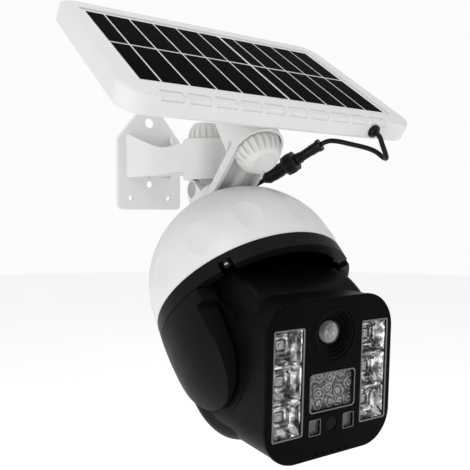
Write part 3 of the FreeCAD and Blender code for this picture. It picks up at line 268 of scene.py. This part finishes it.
def cell_material():
    """Dark silicon with fine fingers, pale gaps between the strips and a wide one in the middle."""
    n = Nodes("solar_cell")
    u, v, _ = n.in_frame(PANEL)
    finger_pitch = 0.00155
    wave = n.math("PINGPONG", v, finger_pitch / 2)
    finger = n.math("LESS_THAN", wave, 0.00008)
    fleck = n.noise(700.0, 2.0, 0.6)
    tone = n.noise(30.0, 3.0, 0.6)
    silicon = n.ramp(tone, [(0.3, (0.0012, 0.0013, 0.0016)), (0.7, (0.0024, 0.0025, 0.0031))])
    colour = n.mix(finger, silicon, (0.008, 0.008, 0.009))
    edges = column_edges()
    middle_line = edges[5]
    diamond_reach = 0.0030
    for v0 in (0.0, CELL_WIDTH / 2):
        across = n.math("ABSOLUTE", n.math("SUBTRACT", u, middle_line))
        along = n.math("ABSOLUTE", n.math("SUBTRACT", v, v0))
        diamond = n.math("LESS_THAN", n.math("ADD", across, along), diamond_reach)
        colour = n.mix(diamond, colour, (0.70, 0.71, 0.71))
    thick = n.math("LESS_THAN", n.math("ABSOLUTE", n.math("SUBTRACT", u, middle_line)), 0.00105)
    colour = n.mix(thick, colour, (0.66, 0.67, 0.67))
    edge = n.math("LESS_THAN", n.math("ABSOLUTE", v), CELL_GAP * 0.95)
    for place in edges:
        edge = n.math("MAXIMUM", edge, n.math("LESS_THAN", n.math("ABSOLUTE", n.math("SUBTRACT", u, place)),
                                              CELL_GAP * 0.62))
    colour = n.mix(edge, colour, (0.66, 0.67, 0.67))
    n.link(colour, n.shader.inputs["Base Color"])
    n.gloss(fleck, 0.24, 0.34)
    n.bump(fleck, 0.03, 0.0001)
    n.set(Specular_IOR_Level=0.0015)
    return n


def clear_cover(name, colour, alpha, rough, shine):
    """Clear moulded cover: a thin see-through skin that keeps its gloss."""
    n = Nodes(name)
    cloud = n.noise(90.0, 2.0, 0.5)
    # the grey tint is partly the cover's own haze and partly painted sheen, whitening the skin the way its
    # reflections would
    n.tint(cloud, [(0.3, tuple(c * 0.92 for c in colour)), (0.7, colour)])
    n.gloss(cloud, rough * 0.8, rough * 1.3)
    n.bump(n.noise(300.0, 2.0, 0.5), 0.04, 0.0001)
    n.set(Alpha=alpha, IOR=1.49, Specular_IOR_Level=shine)
    return n


def chrome_material():
    """Vacuum-metallised plastic with broken reflections: the bright glints and the dark patches between them
    are painted reflections in its colour.
    """
    n = Nodes("bright_reflector")
    cloud = n.noise(170.0, 2.0, 0.55)
    # painted reflections: near-black to near-white patches in the metal's colour stand in for dark
    # reflections and bright glints
    n.tint(cloud, [(0.38, (0.06, 0.06, 0.062)), (0.50, (0.30, 0.30, 0.305)), (0.64, (0.86, 0.86, 0.87))])
    n.gloss(cloud, 0.05, 0.14)
    n.bump(n.noise(150.0, 1.0, 0.5), 0.30, 0.0006)
    n.set(Metallic=1.0)
    return n


def led_material():
    """Clear guide over an emitter: pale, a little uneven, with a glossy skin."""
    n = Nodes("led_package")
    fleck = n.noise(1500.0, 2.0, 0.5)
    n.tint(fleck, [(0.3, (0.40, 0.40, 0.38)), (0.7, (0.62, 0.62, 0.59))])
    n.gloss(fleck, 0.25, 0.4)
    n.set(Coat_Weight=0.6, Coat_Roughness=0.1)
    return n


def lenslet_material():
    """Moulded lens sheet: fine rings round the middle of each lenslet, with painted highlights on the rings
    and painted shade in the valleys.
    """
    n = Nodes("lens_array")
    x, _, z = n.in_frame(HEAD)
    flat = n.add("ShaderNodeCombineXYZ")
    n.link(n.math("ADD", x, n.math("MULTIPLY", n.noise(90.0, 2.0, 0.5), 0.004)), flat.inputs["X"])
    n.link(z, flat.inputs["Y"])
    cells = n.add("ShaderNodeTexVoronoi", voronoi_dimensions="2D")
    cells.inputs["Scale"].default_value = 118.0
    cells.inputs["Randomness"].default_value = 0.45
    n.link(flat.outputs["Vector"], cells.inputs["Vector"])
    away = cells.outputs["Distance"]
    ripple = n.math("PINGPONG", n.math("ADD", away, n.math("MULTIPLY", n.noise(260.0, 2.0, 0.6), 0.55)), 0.14)
    tone = n.math("SUBTRACT", n.math("MULTIPLY", ripple, 5.0), n.math("MULTIPLY", away, 0.45))
    # painted highlights and shade: colour bands follow the rings, and colour darkens away from each lenslet's
    # middle into the valleys; the same value drives the bump
    n.tint(tone, [(0.0, (0.06, 0.06, 0.06)), (0.26, (0.19, 0.19, 0.19)), (0.60, (0.50, 0.50, 0.50))])
    n.link(n.remap(ripple, 0.0, 0.11, 0.12, 0.26), n.shader.inputs["Roughness"])
    n.bump(tone, 0.5, 0.0004)
    n.set(Specular_IOR_Level=0.4)
    return n


LENS_Z, LENS_R = 0.0199, 0.0098


def lens_material():
    """Front element: pale rings round the middle, painted as reflections, and a dark coated rim."""
    n = Nodes("lens_glass")
    x, _, z = n.in_frame(HEAD)
    dz = n.math("SUBTRACT", z, LENS_Z)
    reach = n.math("SQRT", n.math("ADD", n.math("MULTIPLY", x, x), n.math("MULTIPLY", dz, dz)))
    streak = n.noise(260.0, 3.0, 0.6)
    wobble = n.math("ADD", reach, n.math("MULTIPLY", streak, 0.0012))
    # painted reflections: pale and dark rings round the lens middle; the outer stop is the dark coated rim
    n.tint(n.remap(wobble, 0.0, LENS_R, 0.0, 1.0),
           [(0.0, (0.22, 0.22, 0.22)), (0.17, (0.30, 0.30, 0.30)), (0.25, (0.11, 0.11, 0.11)),
            (0.38, (0.21, 0.21, 0.21)), (0.47, (0.08, 0.08, 0.08)), (0.60, (0.16, 0.16, 0.16)),
            (0.70, (0.05, 0.05, 0.05)), (0.84, (0.006, 0.006, 0.007))])
    n.gloss(streak, 0.06, 0.12)
    n.set(Coat_Weight=1.0, Coat_Roughness=0.03, IOR=1.6)
    return n


dome_white = dome_material()
cell = cell_material()
clear = clear_cover("clear_cover", (0.20, 0.20, 0.21), 0.05, 0.07, 0.5)
pane = clear_cover("clear_pane", (0.05, 0.05, 0.05), 0.07, 0.10, 0.15)
frosted = moulded("frosted_grey", (0.085, 0.085, 0.085), 0.30, 0.10, 500.0, 0.30, 0.0, 0.3, 0.15)
lenslet = lenslet_material()
chrome = chrome_material()
led = led_material()
lens = lens_material()
frosted_rim = moulded("clear_rim", (0.085, 0.085, 0.087), 0.18, 0.1, 500.0, 0.05, 0.0, 0.6, 0.05)
sensor_dark = moulded("sensor_dark", (0.002, 0.002, 0.002), 0.30, 0.2, 900.0, 0.05, 0.0, shine=0.08)

PAINT = (
    (white, "wall_plate bracket_arm swivel_knuckle tilt_bracket panel_frame panel_back panel_foot"),
    (white_knob, "pan_knob panel_knob"),
    (dome_white, "dome_shell"),
    (black, "left_cheek_cover right_cheek_cover"),
    (ring_black, "rim_ring"),
    (head_black, "head_shell"),
    (face_black, "faceplate lens_bezel"),
    (inner_black, "clamp_washer dome_chassis pan_bearing battery_holder yoke_frame cheek_liners speaker"),
    (connector_black, "dome_inlet_gland connector_socket connector_nut connector_plug panel_gland"),
    (steel, "pan_bolt tilt_bolt_and_nut saddle_screws foot_screws panel_bolt ring_screws cheek_screws"),
    (steel, "pan_shaft head_axles"),
    (brass, "pan_knob_insert panel_knob_insert"),
    (can, "pan_motor tilt_motor motion_sensor"),
    (board, "main_board camera_module light_board head_board"),
    (rubber, "dome_seal"),
    (washer, "pan_washer"),
    (wrap, "battery_cells"),
    (backing, "solar_laminate"),
    (cell, "solar_cells"),
    (lens, "camera_lens"),
    (clear, "light_windows"),
    (pane, "front_windows"),
    (led, "floodlight_leds"),
    (lenslet, "infrared_leds"),
    (sensor_dark, "light_sensor"),
)
for look, names in PAINT:
    for name in names.split():
        mesh = nodes[name].data
        mesh.materials.clear()
        mesh.materials.append(look.material)

# ------------------------------------------------------------------ pieces


def piece(name, bm, look, body, matrix, smooth=False, bevel=0.0):
    """Turn a bmesh into a named piece that rides on a body."""
    mesh = bpy.data.meshes.new(name)
    bmesh.ops.recalc_face_normals(bm, faces=bm.faces)
    bm.transform(matrix)
    bm.to_mesh(mesh)
    bm.free()
    mesh.materials.append(look.material)
    obj = bpy.data.objects.new(name, mesh)
    scene.collection.objects.link(obj)
    for polygon in mesh.polygons:
        polygon.use_smooth = smooth
    if bevel:
        modifier = obj.modifiers.new("edges", "BEVEL")
        modifier.width = bevel
        modifier.segments = 2
        modifier.limit_method = "ANGLE"
        modifier.angle_limit = math.radians(30)
    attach(obj, body)
    return obj


def loft(bm, rings, close_start=False, close_end=False):
    """Join rings of points, each the same length, with quads."""
    rows = [[bm.verts.new(p) for p in ring] for ring in rings]
    count = len(rows[0])
    for low, high in zip(rows, rows[1:]):
        for i in range(count):
            k = (i + 1) % count
            bm.faces.new((low[i], low[k], high[k], high[i]))
    if close_start:
        bm.faces.new(list(reversed(rows[0])))
    if close_end:
        bm.faces.new(rows[-1])
    return rows


FACE = -0.0575
WINDOW_X = (0.0226, 0.0454)
WINDOW_Z = (-0.0389, 0.0256)
CUP_FRONT = FACE + 0.0017
CUP_DEPTH = 0.0110
CUPS = 3
SMALL_PANE_X, SMALL_PANE_Z = 0.0134, -0.0352


def frame_loft(bm, rings):
    """Rings joined in a loop, like the section of a picture frame."""
    rows = loft(bm, rings)
    count = len(rows[0])
    for i in range(count):
        k = (i + 1) % count
        bm.faces.new((rows[-1][i], rows[-1][k], rows[0][k], rows[0][i]))


def square_ring(cx, cz, half_x, half_z, corner, y):
    """Eight-point outline of a square with cut corners, seen along Y."""
    points = []
    for sx, sz, first in ((1, 1, True), (-1, 1, False), (-1, -1, True), (1, -1, False)):
        pair = [Vector((cx + sx * half_x, y, cz + sz * (half_z - corner))),
                Vector((cx + sx * (half_x - corner), y, cz + sz * half_z))]
        points += pair if first else list(reversed(pair))
    return points


def cups():
    """Middle and half sizes of each reflector cup, three behind each light window."""
    gap_x, gap_z = 0.0004, 0.0003
    half_x = (WINDOW_X[1] - WINDOW_X[0]) / 2 - gap_x
    step = (WINDOW_Z[1] - WINDOW_Z[0] - 2 * gap_z) / CUPS
    for side in (-1, 1):
        for i in range(CUPS):
            middle_x = side * (WINDOW_X[0] + WINDOW_X[1]) / 2
            yield middle_x, WINDOW_Z[0] + gap_z + step * (i + 0.5), half_x, step / 2


def reflector_piece():
    """Two blocks of three faceted cups, each cup a stack of square steps with creased corners."""
    bm = bmesh.new()
    narrowing = ((0.0006, 0.0006, 0.0006, 0.0), (0.0022, 0.0018, 0.0030, 0.0030),
                 (0.0040, 0.0036, 0.0012, 0.0046), (0.0048, 0.0044, 0.0020, 0.0048),
                 (0.0060, 0.0055, 0.0010, 0.0066))
    well = ((0.0038, 0.0010, 0.0068), (0.0032, 0.0006, 0.0076), (0.0029, 0.0006, CUP_DEPTH))
    for cx, cz, hx, hz in cups():
        rings = [square_ring(cx, cz, hx, hz, 0.0002, CUP_FRONT + deep) for deep in (CUP_DEPTH, 0.0)]
        rings += [square_ring(cx, cz, hx - in_x, hz - in_z, corner, CUP_FRONT + deep)
                  for in_x, in_z, corner, deep in narrowing]
        rings += [square_ring(cx, cz, half, half, corner, CUP_FRONT + deep) for half, corner, deep in well]
        loft(bm, rings)
    bmesh.ops.triangulate(bm, faces=bm.faces, quad_method="LONG_EDGE")
    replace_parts(piece("reflector_cups", bm, chrome, "camera_head", HEAD), "light_reflectors")


def emitter_pads():
    """Stepped square light guide over each light emitter."""
    bm = bmesh.new()
    floor = CUP_FRONT + CUP_DEPTH
    steps = ((0.0026, 0.0003, 0.0012), (0.0026, 0.0004, 0.0036), (0.0019, 0.0003, 0.0036),
             (0.0019, 0.0003, 0.0032), (0.0013, 0.0003, 0.0032), (0.0010, 0.0003, 0.0040))
    for cx, cz, _, _ in cups():
        rings = [square_ring(cx, cz, half, half, corner, floor - rise) for half, corner, rise in steps]
        loft(bm, rings, True, True)
    piece("emitter_pads", bm, led, "camera_head", HEAD, bevel=0.0001)


def window_rim():
    """Clear lip round each light window, which catches the light at its edge."""
    bm = bmesh.new()
    gap = 0.0001
    cz, hz = (WINDOW_Z[0] + WINDOW_Z[1]) / 2, (WINDOW_Z[1] - WINDOW_Z[0]) / 2 - gap
    hx = (WINDOW_X[1] - WINDOW_X[0]) / 2 - gap
    for side in (-1, 1):
        cx = side * (WINDOW_X[0] + WINDOW_X[1]) / 2
        rings = [square_ring(cx, cz, hx, hz, 0.0010, FACE + 0.0002),
                 square_ring(cx, cz, hx, hz, 0.0010, FACE - 0.0001),
                 square_ring(cx, cz, hx - 0.0008, hz - 0.0008, 0.0008, FACE - 0.0001),
                 square_ring(cx, cz, hx - 0.0010, hz - 0.0010, 0.0008, FACE + 0.0002)]
        frame_loft(bm, rings)
    piece("window_rims", bm, frosted_rim, "camera_head", HEAD, bevel=0.0001)


def lens_array():
    """Plate of close-set domed lenslets behind the centre window."""
    bm = bmesh.new()
    x0, x1, z0, z1 = -0.0178, 0.0178, -0.0262, -0.0033
    columns, rows = 90, 58
    pitch, row_rise, first_row = 0.0086, 0.0086 * 0.72, 0.0024
    base = FACE + 0.0046
    grid = []
    for j in range(rows + 1):
        line = []
        z = z0 + (z1 - z0) * j / rows
        for i in range(columns + 1):
            x = x0 + (x1 - x0) * i / columns
            nearest = 1.0
            for r in range(-1, 5):
                shift = pitch / 2 if r % 2 else 0.0
                xc = x0 + shift + round((x - x0 - shift) / pitch) * pitch
                nearest = min(nearest, math.hypot(x - xc, z - z0 - first_row - r * row_rise))
            reach = min(1.0, nearest / (pitch * 0.56))
            dome = 0.0018 * math.sqrt(max(0.0, 1 - reach * reach))
            ripple = 0.00016 * math.sin(nearest * 5200.0)
            line.append(bm.verts.new((x, base - dome - ripple, z)))
        grid.append(line)
    for low, high in zip(grid, grid[1:]):
        for i in range(columns):
            bm.faces.new((low[i], low[i + 1], high[i + 1], high[i]))
    border = list(grid[0]) + [row[-1] for row in grid[1:]] + list(reversed(grid[-1][:-1]))
    border += [row[0] for row in reversed(grid[1:-1])]
    back = [bm.verts.new((v.co.x, base + 0.0008, v.co.z)) for v in border]
    for i in range(len(border)):
        k = (i + 1) % len(border)
        bm.faces.new((border[i], border[k], back[k], back[i]))
    bm.faces.new(back)
    piece("lens_array", bm, lenslet, "camera_head", HEAD, smooth=True)


def small_filters():
    """Frosted filters that lie just behind the two small windows."""
    bm = bmesh.new()
    steps = ((0.0044, 0.0048, 0.0006, 0.0030), (0.0044, 0.0048, 0.0006, 0.0023),
             (0.0038, 0.0042, 0.0005, 0.0022))
    for side in (-1, 1):
        loft(bm, [square_ring(side * SMALL_PANE_X, SMALL_PANE_Z, hx, hz, corner, FACE + deep)
                  for hx, hz, corner, deep in steps], True, True)
    piece("small_filters", bm, frosted, "camera_head", HEAD, bevel=0.0001)


def pane_rims():
    """Pale moulded edge round the centre window and the small ones."""
    bm = bmesh.new()
    front, back = FACE - 0.00005, FACE + 0.00015
    panes = ((0.0, -0.01475, 0.0181, 0.01175, 0.0016, 0.0007),
             (SMALL_PANE_X, SMALL_PANE_Z, 0.0045, 0.0049, 0.0006, 0.0004),
             (-SMALL_PANE_X, SMALL_PANE_Z, 0.0045, 0.0049, 0.0006, 0.0004))
    for cx, cz, hx, hz, corner, width in panes:
        frame_loft(bm, [square_ring(cx, cz, hx - inset, hz - inset, corner, y)
                        for inset, y in ((0.0, back), (0.0, front), (width, front), (width, back))])
    piece("pane_rims", bm, frosted_rim, "camera_head", HEAD, bevel=0.00005)


def route_curve(name, points, radius):
    """Smooth curve with the route's points as its control points."""
    curve = bpy.data.curves.new(name, "CURVE")
    curve.dimensions = "3D"
    curve.bevel_depth = radius
    curve.bevel_resolution = 6
    curve.resolution_u = 16
    curve.use_fill_caps = True
    spline = curve.splines.new("NURBS")
    spline.points.add(len(points) - 1)
    for target, point in zip(spline.points, points):
        target.co = (point[0], point[1], point[2], 1.0)
    spline.order_u = 3
    spline.use_endpoint_u = True
    obj = bpy.data.objects.new(name, curve)
    scene.collection.objects.link(obj)
    return obj


def mesh_of(obj):
    """The mesh that a curve makes, and nothing left of the curve."""
    bpy.context.view_layer.update()
    mesh = bpy.data.meshes.new_from_object(obj.evaluated_get(bpy.context.evaluated_depsgraph_get()))
    bpy.data.objects.remove(obj)
    return mesh


def lead_run(name, route):
    """Round tube along a route, and the points that its middle follows."""
    tube = mesh_of(route_curve(name + "_tube", route, LEAD_D / 2))
    for polygon in tube.polygons:
        polygon.use_smooth = True
    tube.materials.clear()
    tube.materials.append(lead_black.material)
    obj = bpy.data.objects.new(name, tube)
    scene.collection.objects.link(obj)
    line = mesh_of(route_curve(name + "_line", route, 0.0))
    return obj, [tuple(v.co) for v in line.vertices]


LEAD_D = 0.0036
gland_tip = PANEL @ Vector((0.0766, -0.0802, -0.0069))
inlet = Vector((26.0, -8.0, 65.4)).normalized()
inlet_tip = DOME @ (inlet * (DOME_R + 0.0122))
outward = (CONNECTOR_TAIL - CONNECTOR_END).normalized()
PANEL_ROUTE = [gland_tip, (0.0766, -0.2216, 0.0113), (0.0777, -0.2221, 0.0068), (0.0782, -0.2238, 0.0022),
               (0.0799, -0.2242, -0.0021), (0.0836, -0.2215, -0.0045), (0.0848, -0.2167, -0.0030),
               (0.0826, -0.2143, 0.0003), (0.0778, -0.2124, 0.0028), (0.0714, -0.2091, 0.0048),
               (0.0626, -0.2053, 0.0066), (0.0554, -0.2011, 0.0085), CONNECTOR_TAIL + outward * 0.0054,
               CONNECTOR_TAIL]
CAMERA_ROUTE = [CONNECTOR_END, CONNECTOR_END - outward * 0.0050, (0.0237, -0.1409, -0.0214),
                (0.0303, -0.1307, -0.0195), (0.0323, -0.1248, -0.0192), (0.0328, -0.1209, -0.0226),
                (0.0321, -0.1204, -0.0273), inlet_tip]

panel_lead, panel_path = lead_run("panel_lead_run", PANEL_ROUTE)
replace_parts(panel_lead, "panel_lead")
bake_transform(panel_lead)

camera_lead, camera_path = lead_run("camera_lead_run", CAMERA_ROUTE)
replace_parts(camera_lead, "camera_lead")
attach(camera_lead, "hanger")


def around(origin, direction):
    """Matrix that stands a piece on a point, along a direction."""
    z = Vector(direction).normalized()
    return Matrix.Translation(origin) @ z.to_track_quat("Z", "Y").to_matrix().to_4x4()


def turned(x, y, angle, z):
    """A point turned about the Z axis."""
    c, s = math.cos(angle), math.sin(angle)
    return Vector((x * c - y * s, x * s + y * c, z))


def connector_grips():
    """Moulded grip ribs on the coupling nut and rings on the two bodies."""
    bm = bmesh.new()
    length = (CONNECTOR_END - CONNECTOR_TAIL).length
    back, front = length * 0.42, length * 0.62
    rib_count, nut_r, half = 18, 0.00730, 0.00055
    stations = ((back + 0.0028, 0.0), (back + 0.0034, 0.0005),
                (front - 0.0029, 0.0005), (front - 0.0023, 0.0))
    for i in range(rib_count):
        a = 2 * math.pi * i / rib_count
        rings = []
        for z, lift in stations:
            low, high = nut_r - 0.0004, nut_r + lift
            quad = [(low, -half), (high, -half * 0.6), (high, half * 0.6), (low, half)]
            rings.append([turned(x, y, a, z) for x, y in quad])
        loft(bm, rings, True, True)
    sides = 40
    profile = ((-0.0006, -0.0002), (-0.0004, 0.0004), (0.0004, 0.0004), (0.0006, -0.0002))
    body_rings = [(z, 0.0037) for z in (0.0040, 0.0060, 0.0080)]
    body_rings += [(front + z, 0.0050) for z in (0.0045, 0.0065, 0.0085, 0.0105)]
    for z, r in body_rings:
        loft(bm, [[turned(r + lift, 0.0, 2 * math.pi * k / sides, z + dz) for k in range(sides)]
                  for dz, lift in profile], True, True)
    piece("connector_grips", bm, connector_black, "hanger",
          around(CONNECTOR_TAIL, CONNECTOR_END - CONNECTOR_TAIL), bevel=0.0001)


reflector_piece()
emitter_pads()
window_rim()
lens_array()
small_filters()
pane_rims()
connector_grips()

# ------------------------------------------------------------------ stage, light and camera


def stage_floor():
    """Round pale floor well below the object."""
    bm = bmesh.new()
    low = cad_box[0][2] - 0.42
    sides = 96
    loft(bm, [[Vector((r * math.cos(2 * math.pi * k / sides), r * math.sin(2 * math.pi * k / sides), low))
               for k in range(sides)] for r in (1.5, 2.4, 6.0)], True)
    mesh = bpy.data.meshes.new("floor")
    bm.to_mesh(mesh)
    bm.free()
    n = Nodes("floor_paper")
    tone = n.noise(1.5, 3.0, 0.5)
    n.tint(tone, [(0.3, (0.90, 0.90, 0.90)), (0.7, (0.93, 0.93, 0.93))])
    n.gloss(tone, 0.86, 0.94)
    n.tint(tone, [(0.3, (0.99, 0.99, 0.99)), (0.7, (1.0, 1.0, 1.0))], "Emission Color")
    n.set(Emission_Strength=0.34)
    mesh.materials.append(n.material)
    floor = bpy.data.objects.new("floor", mesh)
    scene.collection.objects.link(floor)


def area_light(name, place, target, size, power):
    """Soft rectangular lamp that faces a point."""
    data = bpy.data.lights.new(name, "AREA")
    data.shape = "RECTANGLE"
    data.size, data.size_y = size
    data.energy = power
    light = bpy.data.objects.new(name, data)
    light.location = place
    light.rotation_euler = (Vector(target) - Vector(place)).to_track_quat("-Z", "Y").to_euler()
    scene.collection.objects.link(light)


stage_floor()
centre = Vector((0.0, -0.16, -0.04))
area_light("key", (-1.5, -0.9, 1.5), centre, (0.8, 0.8), 9.5)
area_light("fill", (1.6, -1.3, 0.2), centre, (1.2, 1.2), 3.0)
area_light("top", (0.3, 0.1, 1.9), centre, (1.0, 1.0), 8.5)
area_light("front", (-0.2, -1.9, -0.5), centre, (0.5, 1.1), 2.5)
area_light("left", (-1.8, -0.7, -0.30), centre, (0.9, 0.9), 7.0)


def studio_world():
    """White where the camera sees it; for the light it gives, bright above and dim below."""
    world = bpy.data.worlds.new("studio")
    world.use_nodes = True
    tree = world.node_tree
    back = tree.nodes["Background"]
    back.inputs["Strength"].default_value = 1.0
    coords = tree.nodes.new("ShaderNodeTexCoord")
    split = tree.nodes.new("ShaderNodeSeparateXYZ")
    ramp = tree.nodes.new("ShaderNodeValToRGB")
    shift = tree.nodes.new("ShaderNodeMapRange")
    shift.inputs["From Min"].default_value = -1.0
    tree.links.new(coords.outputs["Generated"], split.inputs["Vector"])
    tree.links.new(split.outputs["Z"], shift.inputs["Value"])
    tree.links.new(shift.outputs["Result"], ramp.inputs["Fac"])
    stops = ((0.0, 0.30), (0.44, 0.62), (0.58, 0.64), (1.0, 0.60))
    while len(ramp.color_ramp.elements) < len(stops):
        ramp.color_ramp.elements.new(0.5)
    for element, (place, level) in zip(ramp.color_ramp.elements, stops):
        element.position = place
        element.color = (level, level * 1.005, level * 1.01, 1.0)
    seen = tree.nodes.new("ShaderNodeLightPath")
    mix = tree.nodes.new("ShaderNodeMix")
    mix.data_type = "RGBA"
    colours = [socket for socket in mix.inputs if socket.type == "RGBA"]
    colours[1].default_value = (0.97, 0.97, 0.97, 1.0)
    tree.links.new(seen.outputs["Is Camera Ray"], mix.inputs[0])
    tree.links.new(ramp.outputs["Color"], colours[0])
    tree.links.new([socket for socket in mix.outputs if socket.type == "RGBA"][0], back.inputs["Color"])
    scene.world = world


studio_world()
scene.view_settings.view_transform = "Standard"

camera_data = bpy.data.cameras.new("camera")
camera_data.sensor_width = 36.0
camera_data.lens = 603.27 / 470.0 * 36.0
camera_data.clip_start = 0.01
camera = bpy.data.objects.new("camera", camera_data)
camera.location = (-0.24692, -0.52586, -0.04802)
camera.rotation_euler = (math.radians(90.0 - 1.48), 0.0, math.radians(-33.29))
scene.collection.objects.link(camera)
scene.camera = camera
